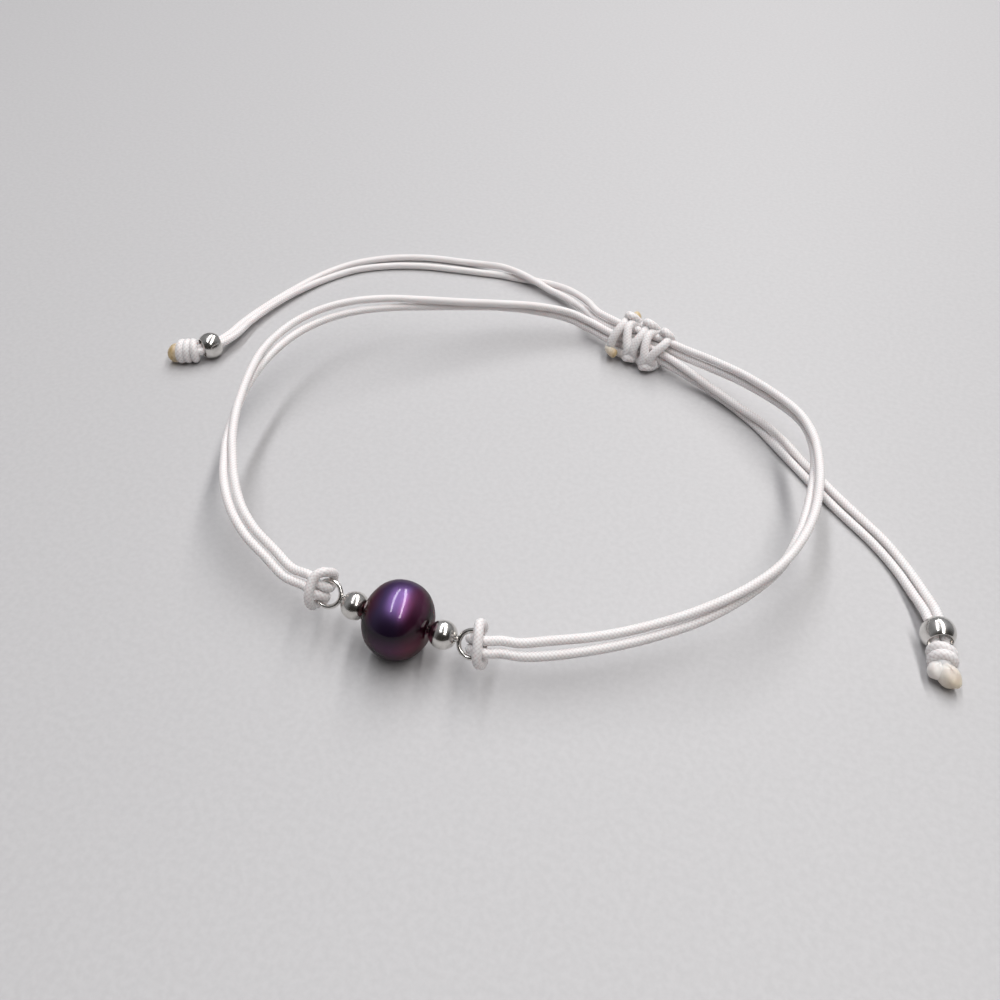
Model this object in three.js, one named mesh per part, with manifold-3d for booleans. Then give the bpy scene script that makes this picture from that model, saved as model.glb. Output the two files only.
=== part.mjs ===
// Adjustable cord bracelet with one dark pearl: a wire pin with an eye at each end carries the
// pearl between two small silver beads. A cord folded in two is hitched to each eye, and both
// pairs of strands pass through a sliding knot and end in a silver bead and a stopper knot.
// Units are millimetres. +X runs along the pearl's drill hole, +Y from the pearl towards the
// sliding knot, +Z up from the surface that the bracelet lies on.
import * as THREE from "three";
import { mergeVertices } from "three/addons/utils/BufferGeometryUtils.js";
import Module from "manifold-3d";

const wasm = await Module();
wasm.setup();

// Joined solids drop detail below this size.
const smallestDetail = 0.01;

// Cord
const cordRadius = 0.5;
const cordSides = 8;
const stepsPerSpan = 2;
const strandClearance = 0.06;
const cordEndGap = 0.3;

// Pearl
const pearlRadius = 4.15;
const pearlHalfLength = 3.55;
const pearlHoleRadius = 0.36;
const pearlSegments = 24;

// Flank beads
const flankBeadRadius = 1.5;
const flankBeadHoleRadius = 0.42;
const flankBeadOffset = 4.98;
const beadSegments = 16;
const beadRings = 8;
const lipInset = 0.985;
const lipFlare = 1.12;

// Wire pin with its two eyes
const wireRadius = 0.25;
const wireSides = 6;
const eyeRadius = 1.38;
const eyeSegments = 20;
const eyeGap = 0.04;
const leftEyeRise = 0.35;
const eyeTilt = THREE.MathUtils.degToRad(45);

// Tail beads and stopper knots
const tailBeadRadius = 1.8;
const tailBeadHoleRadius = 1.2;
const strandInsideBead = 1.25;
const stopperWrapRadius = 1.08;
const stopperWrapPitch = 0.95;
const stopperWrapTilt = THREE.MathUtils.degToRad(14);
const stopperSegments = 12;
const stopperNeck = 0.95;
const stopperNeckRadius = 0.85;
const stopperTaper = 0.08;
const stopperCoreHalf = 1.6;
const stopperTip = { across: 1.0, deep: 1.05, reach: 0.9, drop: 0.1 };

// Sliding knot
const slideCentre = { x: 7.4, y: 59.0 };
const slideHeading = THREE.MathUtils.degToRad(-13);
const slideLean = THREE.MathUtils.degToRad(46);
const slideWraps = 6;
const slideWrapPitch = 1.52;
const slideHalfWidth = 2.55;
const slideHalfDepth = 1.65;
const slideSlants = [13, -1];
const slideTuck = { along: -2.6, outset: 0.3, halfLength: 0.75, halfWidth: 0.65, halfDepth: 0.6 };
const slideWrapSegments = 16;
const slideChannelGap = 0.1;
const slideStrandHalf = 4.75;
const slidePairOffset = 0.85;
const slidePairSpread = 1.13;
const slideRollRight = 100;
const slideRollLeft = 80;
const slideCordRadius = 0.55;

// Derived sizes
const pinHeight = pearlRadius;
const eyeOffset = flankBeadOffset + flankBeadRadius + eyeGap + wireRadius + eyeRadius;
const tailBeadHeight = tailBeadRadius;
const slideHalfLength = (slideWraps * slideWrapPitch) / 2;

// Routes of the pairs of strands: x, y and z of the pair's middle, the turn of the pair about
// its own run in degrees, and how far apart the two strands' middles are.
const loopRightRoute = [
  [13.0, 0.9, 4.55, 41, 1.3],
  [15.5, 2.1, 4.6, 38, 1.45],
  [20.0, 4.6, 4.8, 38, 1.25],
  [24.0, 7.3, 5.2, 42, 1.15],
  [28.3, 10.9, 5.8, 62, 1.15],
  [32.0, 15.3, 6.4, 88, 1.15],
  [34.3, 19.5, 6.8, 102, 1.15],
  [35.4, 24.0, 7.1, 122, 1.15],
  [35.7, 28.0, 7.3, 135, 1.15],
  [35.5, 32.3, 7.4, 126, 1.15],
  [34.9, 36.6, 7.3, 106, 1.15],
  [33.8, 41.0, 7.0, 88, 1.15],
  [31.7, 45.2, 6.6, 76, 1.15],
  [28.3, 49.0, 5.8, 82, 1.15],
  [23.0, 53.1, 4.8, 94, 1.15],
  [18.0, 55.7, 4.1, 104, 1.15],
  [14.6, 57.3, 3.6, 102, 1.13],
];
const loopLeftRoute = [
  [-13.4, 1.0, 4.7, 146, 1.2],
  [-16.3, 2.2, 5.3, 155, 1.2],
  [-19.6, 3.7, 5.8, 160, 1.2],
  [-22.7, 5.9, 6.3, 170, 1.2],
  [-25.4, 8.8, 6.8, 172, 1.2],
  [-27.4, 11.7, 7.1, 158, 1.15],
  [-29.2, 14.8, 7.5, 138, 1.15],
  [-30.7, 18.2, 7.8, 118, 1.15],
  [-31.9, 21.6, 8.0, 108, 1.15],
  [-32.9, 25.2, 8.2, 95, 1.15],
  [-33.6, 29.0, 8.3, 70, 1.15],
  [-33.7, 33.0, 8.3, 50, 1.25],
  [-33.1, 37.3, 8.2, 50, 1.4],
  [-31.6, 41.3, 8.0, 56, 1.45],
  [-29.0, 44.8, 7.8, 58, 1.4],
  [-25.5, 48.0, 7.3, 66, 1.25],
  [-21.5, 50.8, 6.6, 92, 1.15],
  [-17.0, 53.6, 5.9, 114, 1.15],
  [-12.5, 56.7, 5.0, 122, 1.15],
  [-8.0, 59.2, 4.1, 108, 1.15],
  [-3.5, 60.8, 3.1, 92, 1.15],
  [-0.5, 60.7, 2.4, 84, 1.13],
];
const tailRightRoute = [
  [14.5, 56.0, 1.85, 96, 1.13],
  [17.5, 54.8, 1.4, 110, 1.13],
  [20.7, 53.1, 1.2, 112, 1.13],
  [24.0, 51.1, 1.08, 105, 1.13],
  [27.0, 49.0, 1.07, 80, 1.13],
  [30.0, 46.6, 0.84, 30, 1.2],
  [33.0, 43.9, 0.53, 0, 1.35],
  [38.7, 38.5, 0.53, 0, 1.5],
  [43.8, 34.0, 0.53, 0, 1.45],
  [46.7, 30.6, 0.6, 0, 1.3],
  [48.8, 27.1, 1.05, 5, 1.2],
  [50.0, 24.7, 1.55, 10, 1.1],
];
const tailLeftRoute = [
  [0.3, 62.2, 3.1, 112, 1.15],
  [-2.5, 65.3, 2.4, 126, 1.2],
  [-6.0, 68.1, 1.7, 140, 1.25],
  [-9.5, 69.9, 1.2, 170, 1.25],
  [-12.5, 70.8, 1.1, 215, 1.15],
  [-15.3, 71.2, 1.1, 262, 1.15],
  [-18.5, 71.6, 1.0, 310, 1.3],
  [-22.0, 71.6, 0.7, 350, 2.0],
  [-26.0, 71.2, 0.53, 360, 2.5],
  [-31.0, 70.2, 0.53, 360, 2.6],
  [-36.0, 68.1, 0.53, 360, 2.4],
  [-40.3, 64.8, 0.53, 360, 1.9],
  [-43.3, 60.2, 0.55, 360, 1.4],
  [-45.3, 54.5, 0.75, 375, 1.15],
  [-46.5, 49.0, 0.9, 378, 1.13],
  [-46.9, 44.0, 1.2, 374, 1.1],
  [-46.6, 40.2, 1.6, 368, 1.1],
];

// Where each tail bead sits, which way its hole points, and where its stopper knot lies.
const tailRightEnd = { bead: [51.1, 21.5], heading: -73, knotTurn: -12, tipTurn: 62, tip: 1.5 };
const tailLeftEnd = { bead: [-47.7, 36.4], heading: -123, knotTurn: -30, tipTurn: -12, tip: 1.2 };

// Path of each hitch round its eye, from one strand through the folded end to the other. From
// the eye's middle: along the pin, across the strands, and out of the eye's plane.
const hitchRoutes = {
  left: [
    [2.95, 0.62, 0.05],
    [2.2, 0.57, 0.4],
    [1.72, 0.55, 0.74],
    [1.2, 0.54, 0.88],
    [0.72, 0.52, 0.66],
    [0.38, 0.48, 0.12],
    [0.36, 0.5, -0.4],
    [0.38, 0.9, -0.95],
    [0.25, 1.5, -1.0],
    [0.2, 1.92, -0.6],
    [0.3, 2.22, 0.1],
    [0.52, 2.15, 0.8],
    [1.05, 1.97, 1.2],
    [1.52, 1.37, 1.52],
    [1.58, 0.51, 1.64],
    [1.42, -0.4, 1.62],
    [1.25, -1.17, 1.33],
    [1.1, -1.75, 0.7],
    [1.05, -1.95, 0.0],
    [0.92, -1.63, -0.75],
    [0.55, -1.0, -1.0],
    [0.36, -0.5, -0.42],
    [0.38, -0.48, 0.12],
    [0.72, -0.52, 0.66],
    [1.2, -0.54, 0.88],
    [1.72, -0.55, 0.74],
    [2.2, -0.57, 0.4],
    [2.95, -0.62, 0.05],
  ],
  right: [
    [2.95, 0.62, 0.05],
    [2.2, 0.55, 0.4],
    [1.72, 0.52, 0.74],
    [1.2, 0.55, 0.88],
    [0.4, 0.6, 0.68],
    [-0.15, 0.55, 0.12],
    [-0.18, 0.57, -0.42],
    [0.25, 0.85, -0.96],
    [0.73, 1.53, -0.97],
    [0.87, 1.95, -0.5],
    [0.9, 2.15, 0.2],
    [0.87, 2.12, 0.85],
    [0.97, 1.5, 1.37],
    [1.06, 0.43, 1.62],
    [1.03, -0.69, 1.55],
    [0.95, -1.4, 1.2],
    [0.98, -1.85, 0.6],
    [1.08, -1.92, -0.15],
    [1.02, -1.47, -0.87],
    [0.4, -0.85, -0.99],
    [-0.16, -0.5, -0.42],
    [-0.15, -0.49, 0.12],
    [0.4, -0.54, 0.68],
    [1.2, -0.62, 0.88],
    [1.72, -0.7, 0.74],
    [2.2, -0.7, 0.4],
    [2.95, -0.62, 0.05],
  ],
};

// Points of a hitch's route that belong to each strand, and how many of them the folded end
// shares with it.
const hitchStrandPoints = 7;
const hitchSharedPoints = 2;

// How far each hitch is swung round inside its eye.
const hitchSwing = THREE.MathUtils.degToRad(12);

// Looks
const looks = {
  cord: { color: 0xf1ebe9, roughness: 0.72, metalness: 0.0 },
  pearl: { color: 0x2f2440, roughness: 0.16, metalness: 0.35 },
  silver: { color: 0xd9d6d0, roughness: 0.14, metalness: 1.0 },
};

// A curve whose steps follow its points, so that close points get close steps.
class RouteCurve extends THREE.CatmullRomCurve3 {
  constructor(points) {
    super(points, false, "centripetal");
  }

  getPointAt(share, target) {
    return this.getPoint(share, target);
  }

  getTangentAt(share, target) {
    return this.getTangent(share, target);
  }
}

function toManifold(geometry, weld = 1e-4) {
  const plain = new THREE.BufferGeometry();
  plain.setAttribute("position", geometry.getAttribute("position").clone());
  if (geometry.index) plain.setIndex(geometry.index.clone());
  const merged = mergeVertices(plain, weld);
  const mesh = new wasm.Mesh({
    numProp: 3,
    vertProperties: new Float32Array(merged.getAttribute("position").array),
    triVerts: new Uint32Array(merged.index.array),
  });
  return new wasm.Manifold(mesh);
}

function surfaceOf(solid) {
  const { vertProperties, triVerts } = solid.getMesh();
  const geometry = new THREE.BufferGeometry();
  geometry.setAttribute("position", new THREE.BufferAttribute(vertProperties, 3));
  geometry.setIndex(new THREE.BufferAttribute(triVerts, 1));
  return geometry;
}

// The solid's surface without detail that is too small to keep.
function toGeometry(solid) {
  const welded = toManifold(surfaceOf(solid.simplify(smallestDetail)), smallestDetail / 2);
  const geometry = surfaceOf(outerShell(welded));
  geometry.computeVertexNormals();
  return geometry;
}

function unite(geometries) {
  return geometries
    .map((geometry) => toManifold(geometry))
    .reduce((whole, next) => whole.add(next));
}

// The outer shell alone, so that small hollows between crossing cords are filled.
function outerShell(solid) {
  return solid.decompose().reduce((most, next) => (next.volume() > most.volume() ? next : most));
}

function named(name, geometry, look) {
  const mesh = new THREE.Mesh(geometry, new THREE.MeshStandardMaterial(looks[look]));
  mesh.name = name;
  return mesh;
}

function sectionShape(radius, sides) {
  const shape = new THREE.Shape();
  for (let corner = 0; corner < sides; corner += 1) {
    const turn = (2 * Math.PI * corner) / sides;
    const x = radius * Math.cos(turn);
    const y = radius * Math.sin(turn);
    if (corner === 0) shape.moveTo(x, y);
    else shape.lineTo(x, y);
  }
  shape.closePath();
  return shape;
}

function tube(points, radius, sides = cordSides) {
  return new THREE.ExtrudeGeometry(sectionShape(radius, sides), {
    steps: (points.length - 1) * stepsPerSpan,
    bevelEnabled: false,
    extrudePath: new RouteCurve(points),
  });
}

// A drilled round body about the X axis, from half of its outline: radius and distance along.
function drilledBody(halfOutline, holeRadius, segments) {
  const mirrored = halfOutline.map(([radius, along]) => [radius, -along]).reverse();
  const outline = [...mirrored, ...halfOutline.slice(halfOutline[0][1] === 0 ? 1 : 0)];
  const last = halfOutline[halfOutline.length - 1][1];
  const points = [[holeRadius, -last], ...outline, [holeRadius, last], [holeRadius, -last]];
  const geometry = new THREE.LatheGeometry(
    points.map(([radius, along]) => new THREE.Vector2(radius, along)),
    segments,
  );
  return geometry.rotateZ(-Math.PI / 2);
}

function drilledSphere(radius, holeRadius) {
  const mouth = Math.asin(holeRadius / radius);
  const outline = [];
  for (let ring = 0; ring < beadRings / 2; ring += 1) {
    const turn = ((Math.PI / 2 - mouth) * ring) / (beadRings / 2);
    outline.push([radius * Math.cos(turn), radius * Math.sin(turn)]);
  }
  outline.push([holeRadius * lipFlare, radius * Math.cos(mouth) * lipInset]);
  return drilledBody(outline, holeRadius, beadSegments);
}

function makePearl() {
  // Shares of the pearl's radius and half length, from the widest place to the dimpled mouth.
  const outlineShares = [
    [1.0, 0.0],
    [0.985, 0.2],
    [0.925, 0.42],
    [0.8, 0.64],
    [0.61, 0.82],
    [0.4, 0.94],
    [0.23, 0.965],
    [0.12, 0.935],
  ];
  const outline = outlineShares.map(([radius, along]) => [
    radius * pearlRadius,
    along * pearlHalfLength,
  ]);
  const pearl = named("pearl", drilledBody(outline, pearlHoleRadius, pearlSegments), "pearl");
  pearl.position.z = pinHeight;
  return pearl;
}

function makeFlankBead(name, side) {
  const geometry = drilledSphere(flankBeadRadius, flankBeadHoleRadius);
  const bead = named(name, geometry, "silver");
  bead.position.set(side * flankBeadOffset, 0, pinHeight);
  return bead;
}

// How far an eye's middle stands off the pin's line, towards the strands' upper side.
function eyeRise(side) {
  return side < 0 ? leftEyeRise : 0;
}

function makeEyePin() {
  const shaft = new THREE.CylinderGeometry(
    wireRadius,
    wireRadius,
    2 * (eyeOffset - eyeRadius),
    wireSides,
  ).rotateZ(Math.PI / 2);
  const eyes = [-1, 1].map((side) =>
    new THREE.TorusGeometry(eyeRadius, wireRadius, wireSides, eyeSegments)
      .translate(0, eyeRise(side), 0)
      .rotateX(eyeTilt)
      .translate(side * eyeOffset, 0, 0),
  );
  const pin = named("eye_pin", toGeometry(unite([shaft, ...eyes])), "silver");
  pin.position.z = pinHeight;
  return pin;
}

// Both strands of a pair through a route of middles, turns and spreads.
function strandsOf(route) {
  const middles = route.map(([x, y, z]) => new THREE.Vector3(x, y, z));
  const curve = new RouteCurve(middles);
  const upward = new THREE.Vector3(0, 0, 1);
  const strands = [[], []];
  route.forEach(([, , , turn, spread], index) => {
    const run = curve.getTangent(index / (route.length - 1));
    const aside = new THREE.Vector3().crossVectors(upward, run).normalize();
    const above = new THREE.Vector3().crossVectors(run, aside);
    const angle = THREE.MathUtils.degToRad(turn);
    const offset = aside
      .multiplyScalar(Math.cos(angle))
      .addScaledVector(above, Math.sin(angle))
      .multiplyScalar(spread / 2);
    strands[0].push(middles[index].clone().add(offset));
    strands[1].push(middles[index].clone().sub(offset));
  });
  return strands;
}

// A point of the hitch, from the eye's middle, on the side that the pair leaves on.
function hitchPoint([along, across, out], side) {
  const cos = Math.cos(eyeTilt);
  const sin = Math.sin(eyeTilt);
  const swung = across * Math.cos(hitchSwing) + along * Math.sin(hitchSwing);
  const upward = swung + eyeRise(side);
  const outward = along * Math.cos(hitchSwing) - across * Math.sin(hitchSwing);
  return new THREE.Vector3(
    side * (eyeOffset + outward),
    upward * cos - out * sin,
    pinHeight + upward * sin + out * cos,
  );
}

// Middle of a pair inside the sliding knot, at a distance along the knot's axis.
function slidePoint(along, pairSide, knotHeight) {
  const cos = Math.cos(slideHeading);
  const sin = Math.sin(slideHeading);
  const aside = pairSide * slidePairOffset * Math.cos(slideLean);
  return [
    slideCentre.x + along * cos - aside * sin,
    slideCentre.y + along * sin + aside * cos,
    knotHeight + pairSide * slidePairOffset * Math.sin(slideLean),
  ];
}

function slideStation(along, pairSide, turn, knotHeight) {
  return [...slidePoint(along, pairSide, knotHeight), turn, slidePairSpread];
}

function loopStrands(route, side, knotHeight) {
  const turn = side > 0 ? slideRollRight : slideRollLeft;
  const inKnot = [side * slideStrandHalf, 0, -side * slideStrandHalf].map((along) =>
    slideStation(along, side, turn, knotHeight),
  );
  return strandsOf([...route, ...inKnot]);
}

function makeLoopCord(name, strands, side) {
  const route = side < 0 ? hitchRoutes.left : hitchRoutes.right;
  const hitch = route.map((point) => hitchPoint(point, side));
  const upper = [...hitch.slice(0, hitchStrandPoints).reverse(), ...strands[0]];
  const lower = [...hitch.slice(-hitchStrandPoints), ...strands[1]];
  const bightStart = hitchStrandPoints - hitchSharedPoints;
  const bight = hitch.slice(bightStart, -bightStart);
  const solid = unite([upper, lower, bight].map((points) => tube(points, cordRadius)));
  return named(name, toGeometry(solid), "cord");
}

// A ring of cord about the X axis, wider across than deep, slanted about the depth.
function wrapGeometry(halfWidth, halfDepth, radius, slant, segments) {
  const ring = new THREE.TorusGeometry(1, 0.5, cordSides, segments);
  const place = ring.getAttribute("position");
  for (let index = 0; index < place.count; index += 1) {
    const turn = Math.atan2(place.getY(index), place.getX(index));
    const out = Math.hypot(place.getX(index), place.getY(index)) - 1;
    const thick = 2 * radius;
    const wide = halfWidth + out * thick;
    const deep = halfDepth + out * thick;
    place.setXYZ(
      index,
      place.getZ(index) * thick + Math.sin(turn) * halfWidth * Math.tan(slant),
      wide * Math.sin(turn),
      -deep * Math.cos(turn),
    );
  }
  return ring;
}

function ellipsoid(halfX, halfY, halfZ) {
  return new THREE.SphereGeometry(1, stopperSegments, stopperSegments / 2).scale(
    halfX,
    halfY,
    halfZ,
  );
}

function slideTurned(geometry, knotHeight) {
  return geometry
    .rotateX(slideLean)
    .rotateZ(slideHeading)
    .translate(slideCentre.x, slideCentre.y, knotHeight);
}

function slideBody() {
  const wraps = [];
  for (let index = 0; index < slideWraps; index += 1) {
    const slant = THREE.MathUtils.degToRad(slideSlants[index % slideSlants.length]);
    const along = (index - (slideWraps - 1) / 2) * slideWrapPitch;
    wraps.push(
      wrapGeometry(slideHalfWidth, slideHalfDepth, slideCordRadius, slant, slideWrapSegments)
        .translate(along, 0, 0),
    );
  }
  const coreLength = 2 * (slideHalfLength - slideCordRadius);
  const core = new THREE.CylinderGeometry(1, 1, coreLength, slideWrapSegments)
    .rotateZ(Math.PI / 2)
    .scale(1, slideHalfWidth, slideHalfDepth);
  const tuckedEnd = ellipsoid(slideTuck.halfLength, slideTuck.halfWidth, slideTuck.halfDepth);
  const ends = [-1, 1].map((side) =>
    tuckedEnd.clone().translate(slideTuck.along, side * (slideHalfWidth + slideTuck.outset), 0),
  );
  return [core, ...wraps, ...ends];
}

// The knot's middle is as high as its lowest wrap needs to touch the surface.
function slideHeight() {
  const low = slideBody().map((geometry) => {
    const turned = slideTurned(geometry, 0);
    turned.computeBoundingBox();
    return turned.boundingBox.min.z;
  });
  return -Math.min(...low);
}

function makeSlidingKnot(knotHeight, pairs) {
  const body = outerShell(
    unite(slideBody().map((geometry) => slideTurned(geometry, knotHeight))),
  );
  const channels = pairs
    .flat()
    .map((points) => toManifold(tube(points, cordRadius + slideChannelGap)));
  const solid = channels.reduce((whole, channel) => whole.subtract(channel), body);
  return named("sliding_knot", toGeometry(solid), "cord");
}

// The stretch of a pair that a channel of the sliding knot has to clear, run on past both faces.
function channelPoints(pairSide, turn, knotHeight) {
  const reach = slideStrandHalf + cordEndGap + cordRadius;
  const heading = pairSide > 0 ? -1 : 1;
  const stations = [-reach, 0, reach].map((along) =>
    slideStation(heading * along, pairSide, turn, knotHeight),
  );
  return strandsOf(stations);
}

// Both strands of a tail, from the sliding knot's face to inside the tail bead.
function tailStrands(route, end, side, knotHeight) {
  const pairSide = -side;
  const turn = side > 0 ? slideRollLeft : slideRollRight;
  const start = slideStation(side * (slideStrandHalf + cordEndGap), pairSide, turn, knotHeight);
  const heading = THREE.MathUtils.degToRad(end.heading);
  const lastTurn = route[route.length - 1][3];
  const inside = [-strandInsideBead, 0, strandInsideBead].map((along) => [
    end.bead[0] + along * Math.cos(heading),
    end.bead[1] + along * Math.sin(heading),
    tailBeadHeight,
    lastTurn,
    2 * cordRadius + strandClearance,
  ]);
  return strandsOf([start, ...route, ...inside]);
}

function makeTailBead(name, end) {
  const bead = named(name, drilledSphere(tailBeadRadius, tailBeadHoleRadius), "silver");
  bead.rotation.z = THREE.MathUtils.degToRad(end.heading);
  bead.position.set(end.bead[0], end.bead[1], tailBeadHeight);
  return bead;
}

// Overhand knot of both strands beyond the tail bead, fused with its melted tip.
function makeStopperKnot(name, end) {
  const neckStart = strandInsideBead + cordEndGap;
  const neck = new THREE.CylinderGeometry(
    stopperNeckRadius,
    stopperNeckRadius,
    stopperNeck,
    stopperSegments,
  )
    .rotateZ(-Math.PI / 2)
    .translate(neckStart + stopperNeck / 2, 0, 0);
  const wrapStart = neckStart + stopperNeck;
  const turn = THREE.MathUtils.degToRad(end.knotTurn);
  const wraps = [0, 1, 2].map((index) =>
    wrapGeometry(
      stopperWrapRadius,
      stopperWrapRadius - stopperTaper * index,
      cordRadius,
      index % 2 === 0 ? stopperWrapTilt : -stopperWrapTilt,
      stopperSegments,
    ).translate(index * stopperWrapPitch, 0, 0),
  );
  const core = ellipsoid(stopperCoreHalf, stopperWrapRadius, stopperWrapRadius).translate(
    stopperWrapPitch,
    0,
    0,
  );
  const tipTurn = THREE.MathUtils.degToRad(end.tipTurn);
  const tip = ellipsoid(end.tip, stopperTip.across, stopperTip.deep)
    .translate(stopperTip.reach, 0, 0)
    .rotateZ(tipTurn)
    .translate(2 * stopperWrapPitch, 0, -stopperTip.drop);
  const bent = [...wraps, core, tip].map((geometry) =>
    geometry.rotateZ(turn).translate(wrapStart, 0, 0),
  );
  const solid = unite([neck, ...bent]);
  const knot = named(name, toGeometry(solid), "cord");
  knot.geometry.computeBoundingBox();
  knot.rotation.z = THREE.MathUtils.degToRad(end.heading);
  knot.position.set(end.bead[0], end.bead[1], -knot.geometry.boundingBox.min.z);
  return knot;
}

function build() {
  const knotHeight = slideHeight();
  const loops = {
    right: loopStrands(loopRightRoute, 1, knotHeight),
    left: loopStrands(loopLeftRoute, -1, knotHeight),
  };
  const tails = {
    right: tailStrands(tailRightRoute, tailRightEnd, 1, knotHeight),
    left: tailStrands(tailLeftRoute, tailLeftEnd, -1, knotHeight),
  };
  const channels = [
    channelPoints(1, slideRollRight, knotHeight),
    channelPoints(-1, slideRollLeft, knotHeight),
  ];
  const held = [
    makePearl(),
    makeFlankBead("bead_left", -1),
    makeFlankBead("bead_right", 1),
    makeEyePin(),
    makeLoopCord("cord_left", loops.left, -1),
    makeLoopCord("cord_right", loops.right, 1),
    makeSlidingKnot(knotHeight, channels),
  ];
  const loose = [];
  for (const [side, end] of [["left", tailLeftEnd], ["right", tailRightEnd]]) {
    tails[side].forEach((points, index) => {
      loose.push(named(`tail_${side}_strand_${index + 1}`, tube(points, cordRadius), "cord"));
    });
    loose.push(makeTailBead(`tail_bead_${side}`, end));
    loose.push(makeStopperKnot(`end_knot_${side}`, end));
  }
  const bracelet = new THREE.Group();
  bracelet.name = "pearl_bracelet";
  bracelet.add(...held);
  const box = new THREE.Box3().setFromObject(bracelet);
  bracelet.add(...loose);
  bracelet.position.set(
    -(box.min.x + box.max.x) / 2,
    -(box.min.y + box.max.y) / 2,
    -box.min.z,
  );
  const whole = new THREE.Group();
  whole.add(bracelet);
  return whole;
}

export default build();
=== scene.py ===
import math

import bpy
import numpy as np
from mathutils import Matrix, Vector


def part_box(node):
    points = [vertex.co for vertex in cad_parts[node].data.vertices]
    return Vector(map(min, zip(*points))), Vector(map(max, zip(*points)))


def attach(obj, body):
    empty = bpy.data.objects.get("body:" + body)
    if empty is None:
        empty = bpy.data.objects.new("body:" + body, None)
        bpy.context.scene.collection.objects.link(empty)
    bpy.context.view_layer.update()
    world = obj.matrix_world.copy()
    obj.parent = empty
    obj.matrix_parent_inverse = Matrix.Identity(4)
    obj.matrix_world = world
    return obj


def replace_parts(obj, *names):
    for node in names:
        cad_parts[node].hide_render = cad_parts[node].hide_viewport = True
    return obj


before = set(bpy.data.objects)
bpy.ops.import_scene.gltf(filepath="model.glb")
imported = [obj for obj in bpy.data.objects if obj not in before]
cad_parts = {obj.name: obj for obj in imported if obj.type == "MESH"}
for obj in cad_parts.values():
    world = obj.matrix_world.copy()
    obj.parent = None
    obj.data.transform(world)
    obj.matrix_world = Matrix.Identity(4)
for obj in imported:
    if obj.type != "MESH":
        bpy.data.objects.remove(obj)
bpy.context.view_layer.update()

MM = 0.001
pearl_low, pearl_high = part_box("pearl")
ORIGIN = np.array([(pearl_low[0] + pearl_high[0]) / 2, (pearl_low[1] + pearl_high[1]) / 2, 0.0])

# Each side's direction along the wire, as the photo shows it
SIDES = {"left": -1, "right": 1}

# Camera, with its turns in degrees
CAMERA_PLACE = (35.95, -59.58, 84.96)
CAMERA_AZIMUTH = 22.6
CAMERA_ELEVATION = 43.0
CAMERA_LENS = 37.45
SENSOR_WIDTH = 36.0

# Light: two long windows overhead in a room that is darker on the camera's side
LIGHTS_AIM = (0, 20, 0)
WINDOWS = {
    "window_right": {
        "start": (-131, 973, 540),
        "end": (334, -311, 540),
        "width": 75,
        "watts": 4.1,
        "colour": (1.0, 0.99, 0.98),
    },
    "window_left": {
        "start": (-270, 744, 540),
        "end": (-73, -225, 540),
        "width": 55,
        "watts": 2.1,
        "colour": (0.97, 0.98, 1.0),
    },
}
ROOM_DARK_SIDE = (0.6, -0.78, 0.17)
ROOM_STRENGTH = 0.26
FLOOR_HALF = 1500

# Colours along a ramp: the place of each stop from 0 to 1, and its linear colour
# Yarn colour with painted shade: greyish pink in the crossings between the yarns, white on the
# crowns
YARN_COLOURS_WITH_CREVICE_SHADE = [(0.0, (0.6, 0.53, 0.53)), (0.45, (0.82, 0.785, 0.78)), (0.9, (0.92, 0.9, 0.89))]
YARN_PATCHES = [(0.3, (0.96, 0.945, 0.945)), (0.7, (1.0, 1.0, 1.0))]
MELTED_COLOURS = [(0.3, (0.36, 0.21, 0.05)), (0.7, (0.72, 0.58, 0.34))]
SILVER_COLOURS = [(0.3, (0.62, 0.6, 0.57)), (0.65, (0.82, 0.8, 0.77))]
PEARL_HUES = [
    (0.3, (0.15, 0.025, 0.05)),
    (0.55, (0.095, 0.055, 0.165)),
    (0.85, (0.135, 0.075, 0.21)),
    (1.0, (0.2, 0.05, 0.13)),
]
# Painted shade and reflection of the pearl by height: dim and reddish low down, a painted dark
# reflection band above the middle, full brightness on top
PEARL_PAINTED_SHADE_BY_HEIGHT = [
    (0.1, (0.4, 0.16, 0.2)),
    (0.5, (0.5, 0.22, 0.27)),
    (0.7, (0.1, 0.06, 0.08)),
    (0.93, (1.0, 1.0, 1.0)),
]
FLOOR_COLOURS = [(0.35, (0.49, 0.48, 0.485)), (0.65, (0.52, 0.51, 0.515))]
ROOM_COLOURS = [(0.0, (0.96, 0.97, 1.0)), (0.6, (0.13, 0.12, 0.11))]
SILVER_ROUGHNESS = (0.12, 0.26)
PEARL_HUE_WANDER = 0.35

# Cord: its radius, and how far it keeps above the floor
CORD_RADIUS = 0.5
FLOOR_CLEARANCE = 0.02

# Braid: its yarns' height goes from 0 in the crossings to 1 on a crown, and the middle height
# lies at the cord's radius. The powers round each yarn off across and along its run, which
# covers the share of a half wave.
BRAID_SIDES = 30
BRAID_STEP = 0.08
BRAID_YARNS = 6
BRAID_PITCH = 0.4
BRAID_RELIEF = 0.055
BRAID_MIDDLE_HEIGHT = 0.6
YARN_ACROSS_POWER = 0.8
YARN_ALONG_POWER = 0.6
YARN_ALONG_SHARE = 0.86

# Ends of cords: the share of the radius that is rounded off, the least square of the rounding,
# and how much a melted end swells
END_ROUNDING = 0.8
END_LEAST_SQUARE = 0.02
MELT_SWELL = 0.1

# Pearl: half of its outline, as shares of its radius and of its half length
PEARL_RADIUS = 4.15
PEARL_HALF_LENGTH = 3.55
PEARL_HOLE = 0.36
PEARL_HOLE_EDGE = 0.12
PEARL_SEGMENTS = 96
PEARL_OUTLINE_STEPS = 8
PEARL_OUTLINE = [
    (0.12, -0.935),
    (0.23, -0.965),
    (0.4, -0.94),
    (0.61, -0.82),
    (0.8, -0.64),
    (0.925, -0.42),
    (0.985, -0.2),
]

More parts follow.
